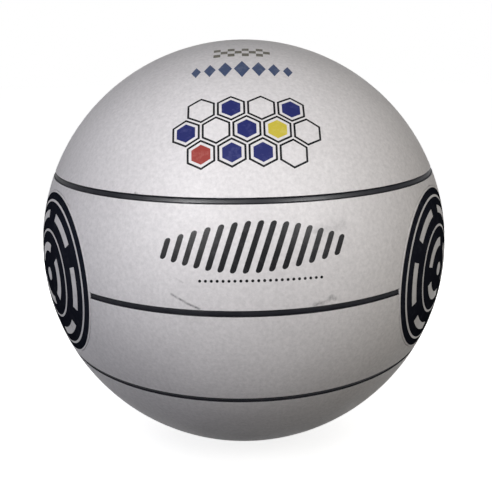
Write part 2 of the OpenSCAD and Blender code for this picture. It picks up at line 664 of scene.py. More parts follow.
@dataclass
class CoverBands:
    """The six band panels between the caps and the equator, cut round for the side discs."""

    sizes: BallSizes
    skin: Finish
    seam: Finish
    roll: float = 0.3
    butt_roll: float = 0.25
    columns: int = 128
    rows: int = 16
    # Distances of the loops from an edge, in radii of its roll
    loops: tuple[float, ...] = (0.0, 0.05, 0.19, 0.41, 0.69, 1.0, ROLL_REACH)

    @property
    def half_span(self) -> float:
        """Angle from the middle of a band to its butt end."""
        return (self.sizes.field_span - self.sizes.arc(self.sizes.butt_gap)) / 2

    def sheet(self) -> BMesh:
        """Spins the band's face over one field, with rows close together at its edges.

        Returns:
            The face, still without a wall.
        """
        lathe, sizes = Lathe(self.sizes), self.sizes
        low, high = sizes.channel_half, sizes.seam_angle - sizes.channel_half
        insets = [sizes.arc(self.roll * share) for share in self.loops]
        first, last = low + 2 * insets[-1], high - 2 * insets[-1]
        latitudes = [low + inset for inset in insets]
        latitudes += [first + (last - first) * row / self.rows for row in range(self.rows + 1)]
        latitudes += [high - inset for inset in reversed(insets)]
        profile = [lathe.polar(latitude, sizes.radius) for latitude in latitudes]
        bm = lathe.turn(profile, self.columns, closed=False, sweep=2 * self.half_span)
        start = Matrix.Rotation(math.radians(-90 - self.half_span), 3, "Z")
        bmesh.ops.rotate(bm, cent=(0, 0, 0), matrix=start, verts=bm.verts)
        return bm

    def cut(self, bm: BMesh, side: int) -> None:
        """Cuts the round bay for a side disc and lays loops along the cut and the butt end.

        Args:
            bm: The band's sheet.
            side: 1 for the disc at +X, or -1.
        """
        sizes = self.sizes
        toward = on_ball(side * sizes.field_span / 2, 0.0)
        for index, share in enumerate(self.loops):
            inset = sizes.arc(self.butt_roll * share)
            level = sizes.radius * math.cos(math.radians(sizes.bay_half + inset))
            cut_loop(bm, level * toward, toward, trim=index == 0)
            if index:
                across = inset / math.cos(math.radians(sizes.seam_angle))
                end = on_ball(side * (self.half_span - across) + 90, 0.0)
                cut_loop(bm, Vector((0, 0, 0)), end)

    def drop(self, point: Vector) -> float:
        """Depth of the rolled edges below the ball's face.

        Args:
            point: A point of the band's sheet.

        Returns:
            The depth in millimetres.
        """
        sizes = self.sizes
        latitude = latitude_of(point)
        longitude = math.degrees(math.atan2(point.x, -point.y))
        side = math.copysign(sizes.field_span / 2, longitude)
        from_disc = math.degrees(point.angle(on_ball(side, 0.0)))
        to_butt = (self.half_span - abs(longitude)) * math.cos(math.radians(latitude))
        reaches = (
            (latitude - sizes.channel_half, self.roll),
            (sizes.seam_angle - sizes.channel_half - latitude, self.roll),
            (from_disc - sizes.bay_half, self.butt_roll),
            (to_butt, self.butt_roll),
        )
        depths = [0.0]
        for angle, roll in reaches:
            left = roll - min(roll, max(0.0, math.radians(angle) * sizes.radius))
            depths.append(roll - math.sqrt(roll * roll - left * left))
        return max(depths)

    def coat(self, point: Vector) -> Coat:
        """Finds what a place on the panel is coated with.

        Args:
            point: The place.

        Returns:
            The seam's dark on the edges along the seams, and skin elsewhere.
        """
        sizes = self.sizes
        latitude = latitude_of(point)
        inset = min(latitude, sizes.seam_angle - latitude) - sizes.channel_half
        return Coat.DARK if inset < sizes.arc(self.roll) else Coat.SKIN

    def build(self, half: Hemisphere, index: int) -> BMesh:
        """Builds one band panel.

        Args:
            half: Which side of the equator.
            index: Number of the field, from 0.

        Returns:
            The panel's mesh.
        """
        bm = self.sheet()
        for side in (-1, 1):
            self.cut(bm, side)
        bmesh.ops.remove_doubles(bm, verts=bm.verts, dist=MERGE)
        bmesh.ops.recalc_face_normals(bm, faces=bm.faces)
        for vert in bm.verts:
            vert.co = (self.sizes.radius - self.drop(vert.co)) * vert.co.normalized()
        set_wall(bm, self.sizes.cover_in)
        for face in bm.faces:
            face.material_index = self.coat(face.calc_center_median())
        bmesh.ops.transform(bm, matrix=self.sizes.field_turn(index), verts=bm.verts)
        if half is Hemisphere.LOWER:
            mirror_down(bm)
        return bm

    def dress(self) -> None:
        """Builds the six bands and places them."""
        for half in Hemisphere:
            for index in range(self.sizes.fields):
                name, number = f"{half.name.lower()}_band", index + 1
                place(self.build(half, index), f"{name}_skin_{number}", [self.skin, self.seam], Slot.COVER,
                      stands_for=[f"{name}_panel_{number}"])


@dataclass(frozen=True)
class DiscRing:
    """Broken ring printed on a side disc: radii along the cover, and how much of each part is printed."""

    inner: float
    outer: float
    parts: int = 1
    share: float = 1.0

    def covers(self, distance: float, turn: float) -> bool:
        """Tells whether the ring covers a place.

        Args:
            distance: Distance from the disc's middle, along the cover.
            turn: Degrees about the disc's middle.

        Returns:
            True where the place is printed.
        """
        pitch = 360 / self.parts
        off_middle = abs((turn + pitch / 2) % pitch - pitch / 2)
        return self.inner < distance < self.outer and off_middle <= self.share * pitch / 2


@dataclass
class SideDiscs:
    """The three round side panels, each a dark field with printed rings."""

    sizes: BallSizes
    skin: Finish
    dark: Finish
    silver: Finish
    dark_reach: float = 38.7
    roll: float = 0.25
    steps: int = 144
    loop_step: float = 2.2
    rings: tuple[DiscRing, ...] = (
        DiscRing(0.0, 3.2),
        DiscRing(11.0, 15.0, 3, 0.7),
        DiscRing(20.2, 21.3),
        DiscRing(26.6, 30.2, 6, 0.7),
        DiscRing(34.2, 35.3),
    )

    def radii(self) -> list[float]:
        """Finds where the face needs loops: at the rings' edges, and no further apart than a step.

        Returns:
            Distances from the middle, outermost first.
        """
        marks = {0.0, self.dark_reach, *(r.inner for r in self.rings), *(r.outer for r in self.rings)}
        ordered = sorted(marks)
        for low, high in zip(ordered, ordered[1:]):
            cuts = math.ceil((high - low) / self.loop_step)
            marks.update(low + (high - low) * cut / cuts for cut in range(1, cuts))
        return sorted(marks, reverse=True)

    def build(self, index: int) -> BMesh:
        """Turns one disc and prints its rings.

        Args:
            index: Number of the field before the disc, from 0.

        Returns:
            The disc's mesh.
        """
        lathe, sizes = Lathe(self.sizes), self.sizes
        edge = 90 - sizes.disc_half
        outline = lathe.arc(90, edge, sizes.cover_in, INNER_STEP)
        outline += reversed(lathe.rolled_edge(edge, 1, self.roll))
        outline += [lathe.polar(90 - sizes.arc(distance), sizes.radius) for distance in self.radii()]
        bm = lathe.turn(outline, self.steps, closed=False)
        for face in bm.faces:
            face.material_index = self.coat(face.calc_center_median())
        bmesh.ops.transform(bm, matrix=sizes.disc_turn(index), verts=bm.verts)
        return bm

    def coat(self, point: Vector) -> Coat:
        """Finds what a place on the disc is coated with.

        Args:
            point: The place, on a disc about +Z.

        Returns:
            Skin inside and at the rim, and on the face the dark field or a ring.
        """
        distance = self.sizes.radius * point.angle((0, 0, 1))
        if point.length < self.sizes.radius - self.roll or distance > self.dark_reach:
            return Coat.SKIN
        turn = math.degrees(math.atan2(point.y, point.x))
        return Coat.RING if any(ring.covers(distance, turn) for ring in self.rings) else Coat.DARK

    def dress(self) -> None:
        """Builds the three discs and places them."""
        for index in range(self.sizes.fields):
            place(self.build(index), f"side_disc_skin_{index + 1}", [self.skin, self.dark, self.silver],
                  Slot.DISC, stands_for=[f"side_disc_panel_{index + 1}"])


@dataclass
class SeamRibs:
    """Rubber ribs in the seams: two full rings, and three stretches along the equator."""

    sizes: BallSizes
    rubber: Finish
    crown: float = 0.03
    fillet: float = 0.25
    steps: int = 288
    stretch_steps: int = 72
    face_steps: int = 4
    fillet_steps: int = 3

    def outline(self, latitude: float) -> list[Point]:
        """Closed profile of a rib with a crowned face and eased corners.

        Args:
            latitude: Middle of the rib in degrees.

        Returns:
            Profile points.
        """
        sizes = self.sizes
        half, top = sizes.rib_w / 2, sizes.radius - sizes.rib_recess
        flank = half - self.fillet
        shares = [step / self.face_steps for step in range(-self.face_steps, self.face_steps + 1)]
        face = [(flank * share, top - self.crown * share ** 2) for share in shares]
        for step in range(1, self.fillet_steps + 1):
            angle = math.radians(90 * step / self.fillet_steps)
            across = flank + self.fillet * math.sin(angle)
            fall = self.crown + self.fillet * (1 - math.cos(angle))
            face = [(-across, top - fall), *face, (across, top - fall)]
        section = [(-half, sizes.cover_in), *face, (half, sizes.cover_in)]
        return [Lathe.polar(latitude + sizes.arc(across), radius) for across, radius in section]

    def stretch(self, index: int) -> BMesh:
        """Builds the equator rib of one field, which ends a gap short of the bays at its sides.

        Args:
            index: Number of the field, from 0.

        Returns:
            The rib's mesh.
        """
        sizes = self.sizes
        span = sizes.field_span - 2 * (sizes.bay_half + sizes.arc(sizes.butt_gap))
        bm = Lathe.turn(self.outline(0.0), self.stretch_steps, closed=True, sweep=span)
        start = Matrix.Rotation(math.radians(-90 - span / 2), 4, "Z")
        bmesh.ops.transform(bm, matrix=sizes.field_turn(index) @ start, verts=bm.verts)
        return bm

    def dress(self) -> None:
        """Builds the ribs and places them."""
        for half in Hemisphere:
            name = f"{half.name.lower()}_seam_rib"
            ring = Lathe.turn(self.outline(half.value * self.sizes.seam_angle), self.steps, closed=True)
            place(ring, f"{name}_moulding", [self.rubber], Slot.SEAM, stands_for=[name])
        for index in range(self.sizes.fields):
            name = f"equator_seam_rib_{index + 1}"
            place(self.stretch(index), f"{name}_moulding", [self.rubber], Slot.SEAM, stands_for=[name])


@dataclass
class NeedleValve:
    """Rubber boot bonded into the ball, and the plug that pulls out of it, in millimetres."""

    boot: Finish
    rubber: Finish
    plug_gap: float = 0.05
    # The boot: its mouth below the ball's face, its walls, and its flange below the ball's face
    mouth_recess: float = 0.25
    neck_wall: float = 1.0
    pocket_wall: float = 2.2
    brim_depth: float = 3.8
    flange_t: float = 0.9
    # The plug: needle hole, stem, head and solid tip
    needle_r: float = 1.1
    stem_wall: float = 1.1
    head_t: float = 1.3
    tip_l: float = 3.3
    # Funnel to the needle hole, and the point where it bends, in shares of its depth
    funnel: float = 0.5
    funnel_bend: Point = (0.35, 0.45)
    # Depth of the grooves around the stem, and their places in shares of its length
    groove: float = 0.12
    groove_levels: tuple[float, ...] = (0.25, 0.45, 0.65)
    # Blunt end of the stem: shares of its radius, with heights above its tip
    nose: tuple[Point, ...] = ((1.0, 1.4), (0.72, 0.35), (0.45, 0.0), (0.0, 0.0))
    ease: float = 0.25
    ease_steps: int = 4
    steps: int = 64

    def __post_init__(self) -> None:
        """Reads the valve's levels and radii from the frame."""
        low, high = (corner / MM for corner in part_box("valve_plug"))
        self.head_r, self.top, self.tip = high.x, high.z, low.z
        low, high = (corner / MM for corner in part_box("valve_housing"))
        self.flange_r, self.foot = high.x, low.z
        self.stem_r = self.needle_r + self.stem_wall
        self.seat = self.top - self.head_t

    def eased(self, corner: Point, before: Point, after: Point) -> list[Point]:
        """Rounds a square corner of a profile.

        Args:
            corner: The corner.
            before: Direction from the corner to the point before it, as two signs.
            after: Direction from the corner to the point after it, as two signs.

        Returns:
            Points of the rounded corner.
        """
        points = []
        for step in range(self.ease_steps + 1):
            angle = math.radians(90 * step / self.ease_steps)
            back, on = 1 - math.sin(angle), 1 - math.cos(angle)
            points.append(tuple(corner[i] + self.ease * (back * before[i] + on * after[i]) for i in (0, 1)))
        return points

    def housing(self) -> BMesh:
        """Turns the boot: neck, flange and the pocket around the plug's stem.

        Returns:
            The boot's mesh.
        """
        mouth, bore = self.head_r + self.plug_gap, self.stem_r + self.plug_gap
        neck, pocket = mouth + self.neck_wall, bore + self.pocket_wall
        middle, seat = (self.flange_r + neck) / 2, self.seat - self.plug_gap
        brim = self.top + self.mouth_recess - self.brim_depth
        rim_z, middle_z, neck_z = (math.sqrt(brim ** 2 - r ** 2) for r in (self.flange_r, middle, neck))
        outline = [
            (bore, self.foot), (pocket - self.ease, self.foot), (pocket, self.foot + self.ease),
            (pocket, neck_z - self.flange_t), (self.flange_r, rim_z - self.flange_t),
            (self.flange_r, rim_z - self.ease), (self.flange_r - self.ease, rim_z),
            (middle, middle_z), (neck, neck_z),
            *self.eased((neck, self.top), (0, -1), (-1, 0)),
            *self.eased((mouth, self.top), (1, 0), (0, -1)),
            (mouth, seat), (bore, seat),
        ]
        return Lathe.turn(outline, self.steps, closed=True)

    def plug(self) -> BMesh:
        """Turns the plug: a head with a funnel to the needle hole, a grooved stem and a blunt tip.

        Returns:
            The plug's mesh.
        """
        hole_end = self.tip + self.tip_l
        bend_out, bend_down = (self.funnel * share for share in self.funnel_bend)
        outline = [
            (0.0, hole_end), (self.needle_r, hole_end), (self.needle_r, self.top - self.funnel),
            (self.needle_r + bend_out, self.top - bend_down), (self.needle_r + self.funnel, self.top),
            *self.eased((self.head_r, self.top), (-1, 0), (0, -1)),
            *self.eased((self.head_r, self.seat), (0, 1), (-1, 0)),
            (self.stem_r, self.seat),
        ]
        for level in self.groove_levels:
            height = self.seat + (self.tip - self.seat) * level
            outline += [(self.stem_r, height + 2 * self.groove), (self.stem_r - self.groove, height)]
            outline += [(self.stem_r, height - 2 * self.groove)]
        outline += [(self.stem_r * share, self.tip + rise) for share, rise in self.nose]
        return Lathe.turn(outline, self.steps, closed=False)

    def dress(self) -> None:
        """Builds the boot and the plug and places them."""
        place(self.housing(), "valve_boot", [self.boot], Slot.HOUSING, stands_for=["valve_housing"])
        place(self.plug(), "valve_plug_moulding", [self.rubber], Slot.PLUG, Body.PLUG, ["valve_plug"])


class InkFilm:
    """Flat printed shapes in millimetres that are laid on the ball as one thin film of ink."""

    # Steps of a quarter circle, rows from a shape's middle to its end, and cells across it, many or few
    ROUND_STEPS, HALF_ROWS, ACROSS, FEW_ACROSS = 6, 4, 4, 2

    def __init__(self, sizes: BallSizes, lift: float = 0.035, sink: float = 0.06) -> None:
        """Starts an empty film that stands a lift above the cover and a sink into it."""
        self.sizes, self.lift, self.sink = sizes, lift, sink
        self.bm = bmesh.new()

    def strip(self, centre: Point, rows: Sequence[float], half_width: Callable[[float], float],
              turn: float = 0.0, across: int = ACROSS, lean: float = 0.0) -> None:
        """Adds a shape that is symmetric about its long axis.

        Args:
            centre: Middle of the shape on the flat sheet.
            rows: Places along the axis that get a row of vertices, measured from the middle.
            half_width: Half of its width at a place along the axis.
            turn: Turn about the sheet's origin after the shape is moved, in degrees.
            across: Cells across the axis.
            lean: Sideways shift for each millimetre along the axis.
        """
        last = len(rows) - 1
        grid = bmesh.ops.create_grid(self.bm, x_segments=across, y_segments=last, size=1.0)["verts"]
        for vert in grid:
            along = rows[round((vert.co.y + 1) / 2 * last)]
            vert.co.x = vert.co.x * half_width(along) + lean * along + centre[0]
            vert.co.y = along + centre[1]
        spin = Matrix.Rotation(math.radians(turn), 3, "Z")
        bmesh.ops.rotate(self.bm, cent=(0, 0, 0), matrix=spin, verts=grid)

    def move(self, start: int, shift: Point) -> None:
        """Moves what was added after a count of vertices."""
        verts = self.bm.verts[:][start:]
        bmesh.ops.translate(self.bm, vec=(*shift, 0.0), verts=verts)

    @staticmethod
    def spread(length: float, step: float = 2.0) -> list[float]:
        """Evenly spaced places along a length about its middle, no further apart than a step."""
        count = max(1, math.ceil(length / step))
        return [length * (item / count - 0.5) for item in range(count + 1)]

    def rounding(self, radius: float, first: int) -> list[float]:
        """Rows along the axis of a round shape, from a step counted from its middle to its end."""
        angles = [math.radians(90 * step / self.ROUND_STEPS) for step in range(first, self.ROUND_STEPS + 1)]
        return [radius * math.sin(angle) for angle in angles]

    def tapering(self, half: float) -> list[float]:
        """Rows along the axis of a shape that narrows towards both ends."""
        return [half * row / self.HALF_ROWS for row in range(-self.HALF_ROWS, self.HALF_ROWS + 1)]

    def capsule(self, centre: Point, length: float, width: float, lean: float) -> None:
        """Adds a leaning bar with round ends.

        Args:
            centre: Middle of the bar.
            length: Length along its axis.
            width: Width across it.
            lean: Sideways shift for each millimetre along the axis.
        """
        radius = width / 2
        straight = length / 2 - radius

        def half_width(along: float) -> float:
            """Half width of the bar at a place along it."""
            over = max(0.0, abs(along) - straight)
            return math.sqrt(max(0.0, radius * radius - over * over))

        cap = [straight + reach for reach in self.rounding(radius, 1)]
        rows = [-along for along in reversed(cap)] + self.spread(2 * straight) + cap
        self.strip(centre, rows, half_width, lean=lean)

    def dot(self, centre: Point, radius: float) -> None:
        """Adds a round dot."""
        rows, cells = self.rounding(radius, -self.ROUND_STEPS), self.FEW_ACROSS
        self.strip(centre, rows, lambda y: math.sqrt(max(0.0, radius * radius - y * y)), across=cells)

    def square(self, centre: Point, side: float) -> None:
        """Adds an upright square."""
        self.strip(centre, self.spread(side), lambda _: side / 2, across=self.FEW_ACROSS)

    def lozenge(self, centre: Point, height: float, width: float) -> None:
        """Adds a diamond on its point."""
        self.strip(centre, self.tapering(height / 2), lambda y: width / 2 * (1 - 2 * abs(y) / height))

    def hexagon(self, centre: Point, flat: float) -> None:
        """Adds a filled hexagon with a point up.

        Args:
            centre: Its middle.
            flat: Its width across the flats.
        """
        side = flat / math.sqrt(3)
        slope = flat / side
        self.strip(centre, self.tapering(side), lambda y: min(flat / 2, slope * max(0.0, side - abs(y))))

    def hexagon_line(self, centre: Point, flat: float, stroke: float) -> None:
        """Adds the outline of a hexagon with a point up.

        Args:
            centre: Its middle.
            flat: Its width across the flats, outside the outline.
            stroke: Width of the line.
        """
        middle = flat / 2 - stroke / 2
        for side in range(6):
            start = len(self.bm.verts)
            self.strip((0.0, middle), (-stroke / 2, stroke / 2),
                       lambda y: (middle + y) * math.tan(math.radians(30)), turn=30 + 60 * side)
            self.move(start, centre)

    def lay(self, longitude: float, latitude: float) -> BMesh:
        """Wraps the film onto the ball about a place and gives it its thickness.

        Args:
            longitude: Longitude of the flat sheet's origin.
            latitude: Latitude of the flat sheet's origin.

        Returns:
            The film's mesh.
        """
        bmesh.ops.remove_doubles(self.bm, verts=self.bm.verts, dist=MERGE)
        bmesh.ops.dissolve_degenerate(self.bm, edges=self.bm.edges, dist=MERGE)
        up = on_ball(longitude, latitude)
        east = on_ball(longitude + 90, 0.0)
        north = up.cross(east)
        for vert in self.bm.verts:
            across = vert.co.x * east + vert.co.y * north
            angle = across.length / self.sizes.radius
            heading = across.normalized() if across.length else east
            point = math.cos(angle) * up + math.sin(angle) * heading
            vert.co = (self.sizes.radius + self.lift) * point
        bmesh.ops.recalc_face_normals(self.bm, faces=self.bm.faces)
        set_wall(self.bm, self.sizes.radius - self.sink)
        return self.bm


class Motif:
    """Base of the printed motifs: each one holds its sizes in millimetres and draws itself on a film."""

    def draw(self, film: InkFilm) -> None:
        """Draws the motif about the film's origin."""
        raise NotImplementedError

    @staticmethod
    def row(count: int, pitch: float) -> list[float]:
        """Places of a row's items about its middle."""
        return [(item - (count - 1) / 2) * pitch for item in range(count)]


@dataclass(frozen=True)
class SlantedBars(Motif):
    """Row of slanted bars whose heights swell towards the middle."""

    count: int = 15
    pitch: float = 5.0
    width: float = 2.4
    heights: Point = (7.0, 20.5)
    lean: float = 0.34

    def draw(self, film: InkFilm) -> None:
        """Draws the bars.

        Args:
            film: The film that takes them.
        """
        low, high = self.heights
        for bar, across in enumerate(self.row(self.count, self.pitch)):
            share = (bar + 0.5) / self.count
            height = low + (high - low) * math.sin(math.pi * share)
            film.capsule((across, 0.0), height, self.width, self.lean)


@dataclass(frozen=True)
class DotRow(Motif):
    """Row of small dots."""

    count: int = 22
    pitch: float = 2.3
    radius: float = 0.6

    def draw(self, film: InkFilm) -> None:
        """Draws the dots on a film."""
        for across in self.row(self.count, self.pitch):
            film.dot((across, 0.0), self.radius)


@dataclass(frozen=True)
class Honeycomb(Motif):
    """Outlines of six-sided cells in staggered rows."""

    pitch: float = 12.4
    gap: float = 0.8
    stroke: float = 0.85
    row_cells: tuple[int, ...] = (4, 5, 4)

    @property
    def flat(self) -> float:
        """Width of a cell across its flats."""
        return self.pitch - self.gap

    def cells(self) -> list[tuple[Cell, Point]]:
        """Finds the places of the cells.

        Returns:
            Row and column of each cell, with its middle.
        """
        rise = self.pitch * math.sqrt(3) / 2
        places = []
        for row, count in enumerate(self.row_cells):
            height = ((len(self.row_cells) - 1) / 2 - row) * rise
            for column, across in enumerate(self.row(count, self.pitch)):
                places.append(((row, column), (across, height)))
        return places

    def draw(self, film: InkFilm) -> None:
        """Draws the outlines on a film."""
        for _, centre in self.cells():
            film.hexagon_line(centre, self.flat, self.stroke)


@dataclass(frozen=True)
class HoneycombFill(Honeycomb):
    """Cells of the honeycomb that are filled with one colour, a margin inside their outlines."""

    chosen: tuple[Cell, ...] = ()
    margin: float = 1.1

    def draw(self, film: InkFilm) -> None:
        """Draws the filled cells.

        Args:
            film: The film that takes them.
        """
        width = self.flat - 2 * (self.stroke + self.margin)
        for cell, centre in self.cells():
            if cell in self.chosen:
                film.hexagon(centre, width)


@dataclass(frozen=True)
class LozengeRow(Motif):
    """Row of diamonds that grow smaller and move closer outwards, by a share for each step."""

    reach: int = 3
    pitch: float = 7.6
    height: float = 13.5
    width: float = 7.0
    shrink: float = 0.13
    crowd: float = 0.04

    def draw(self, film: InkFilm) -> None:
        """Draws the diamonds.

        Args:
            film: The film that takes them.
        """
        for step in range(-self.reach, self.reach + 1):
            size = 1 - self.shrink * abs(step)
            across = step * self.pitch * (1 - self.crowd * abs(step))
            film.lozenge((across, 0.0), self.height * size, self.width * size)


@dataclass(frozen=True)
class Checker(Motif):
    """Rows of alternate squares whose corners just miss each other."""

    rows: int = 3
    columns: int = 4
    pitch: float = 3.2
    side: float = 3.12

    def draw(self, film: InkFilm) -> None:
        """Draws the squares.

        Args:
            film: The film that takes them.
        """
        for row, height in enumerate(self.row(self.rows, self.pitch)):
            for column in range(self.columns):
                across = (2 * column + row % 2 - self.columns + 0.5) * self.pitch
                film.square((across, height), self.side)


@dataclass(frozen=True)
class Mark:
    """Printed mark of a field: the longitude counts from the middle of the field."""

    name: str
    motif: Motif
    ink: Finish
    slot: Slot
    longitude: float
    latitude: float


@dataclass
class PrintedMarks:
    """Printed marks that repeat on every field."""

    sizes: BallSizes
    marks: tuple[Mark, ...]

    def build(self, mark: Mark, index: int) -> BMesh:
        """Lays a mark on one field.

        Args:
            mark: The mark.
            index: Number of the field, from 0.

        Returns:
            The mark's mesh.
        """
        film = InkFilm(self.sizes)
        mark.motif.draw(film)
        return film.lay(index * self.sizes.field_span + mark.longitude, mark.latitude)

    def dress(self) -> None:
        """Builds every mark of each field and places it."""
        for index in range(self.sizes.fields):
            for mark in self.marks:
                place(self.build(mark, index), f"{mark.name}_{index + 1}", [mark.ink], mark.slot)


@dataclass
class YarnWinding:
    """Flat yarn wound over the bladder in great circles that leave the poles free for the valve."""

    yarn: Finish
    wall: float = 0.3
    yarn_t: float = 0.18
    yarn_w: float = 2.2
    turns: int = 84
    levels: int = 7
    steps: int = 80
    # Degrees that stay free at the poles, and the turn between two yarns
    pole_gap: float = 4.5
    advance: float = 137.508

    def lay(self, turn: int) -> Matrix:
        """Turn of the ball between the first yarn, around the equator, and a later one.

        Args:
            turn: Number of the yarn's turn, from 0.

        Returns:
            The rotation, which never brings the yarn nearer to a pole than the gap there.
        """
        flattest = math.sin(math.radians(self.pole_gap))
        lean = math.acos(flattest + (1 - flattest) * (turn + 0.5) / self.turns)
        heading = math.radians(self.advance * turn)
        return Matrix.Rotation(heading, 4, "Z") @ Matrix.Rotation(lean, 4, "X")

    def build(self) -> BMesh:
        """Spins one turn of yarn and lays copies of it around the ball, at several depths of the wall.

        Returns:
            The winding's mesh.
        """
        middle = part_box("nylon_winding")[1].x / MM - self.wall / 2
        half_t, half_w = self.yarn_t / 2, self.yarn_w / 2
        section = [(middle - half_t, 0.0), (middle, half_w), (middle + half_t, 0.0), (middle, -half_w)]
        bm = Lathe.turn(section, self.steps, closed=True)
        first = bm.verts[:] + bm.edges[:] + bm.faces[:]
        for turn in range(self.turns):
            copied = bmesh.ops.duplicate(bm, geom=first)["geom"]
            depth = (self.wall - self.yarn_t) * (turn % self.levels / (self.levels - 1) - 0.5)
            size = Matrix.Scale(1 + depth / middle, 4)
            verts = [item for item in copied if isinstance(item, BMVert)]
            bmesh.ops.transform(bm, matrix=self.lay(turn) @ size, verts=verts)
        bmesh.ops.delete(bm, geom=[item for item in first if isinstance(item, BMVert)], context="VERTS")
        return bm

    def dress(self) -> None:
        """Builds the winding and places it."""
        place(self.build(), "wound_yarn", [self.yarn], Slot.WINDING, stands_for=["nylon_winding"])


@dataclass
class InnerLayers:
    """Layers and patches under the cover, which keep the frame's own solids."""

    finishes: dict[str, Finish]

    def dress(self) -> None:
        """Gives each inner node its material."""
        for name, finish in self.finishes.items():
            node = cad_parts[name]
            node.data.materials.clear()
            node.data.materials.append(finish.material())
            LOG.info("%s: frame solid with %s", name, finish.title)


@dataclass(frozen=True)
class SoftBox:
    """Square soft box that faces the ball: its direction in degrees, then metres, watts and tint.

    The spread is the angle that its grid lets through. A box that isn't diffuse shows only in gloss.
    """

    name: str
    longitude: float
    latitude: float
    away: float
    size: float
    power: float
    tint: Tint = (1.0, 1.0, 1.0)
    spread: float = 180.0
    glossy: bool = True
    diffuse: bool = True

    def hang(self) -> None:
        """Hangs the lamp, unseen by the camera."""
        light = bpy.data.lights.new(self.name, "AREA")
        light.shape = "SQUARE"
        light.size = self.size
        light.spread = math.radians(self.spread)
        light.energy = self.power
        light.color = self.tint
        lamp = bpy.data.objects.new(self.name, light)
        lamp.location = on_ball(self.longitude, self.latitude, self.away)
        lamp.rotation_euler = lamp.location.to_track_quat("Z", "Y").to_euler()
        lamp.visible_camera = False
        lamp.visible_glossy = self.glossy
        lamp.visible_diffuse = self.diffuse
        bpy.context.scene.collection.objects.link(lamp)


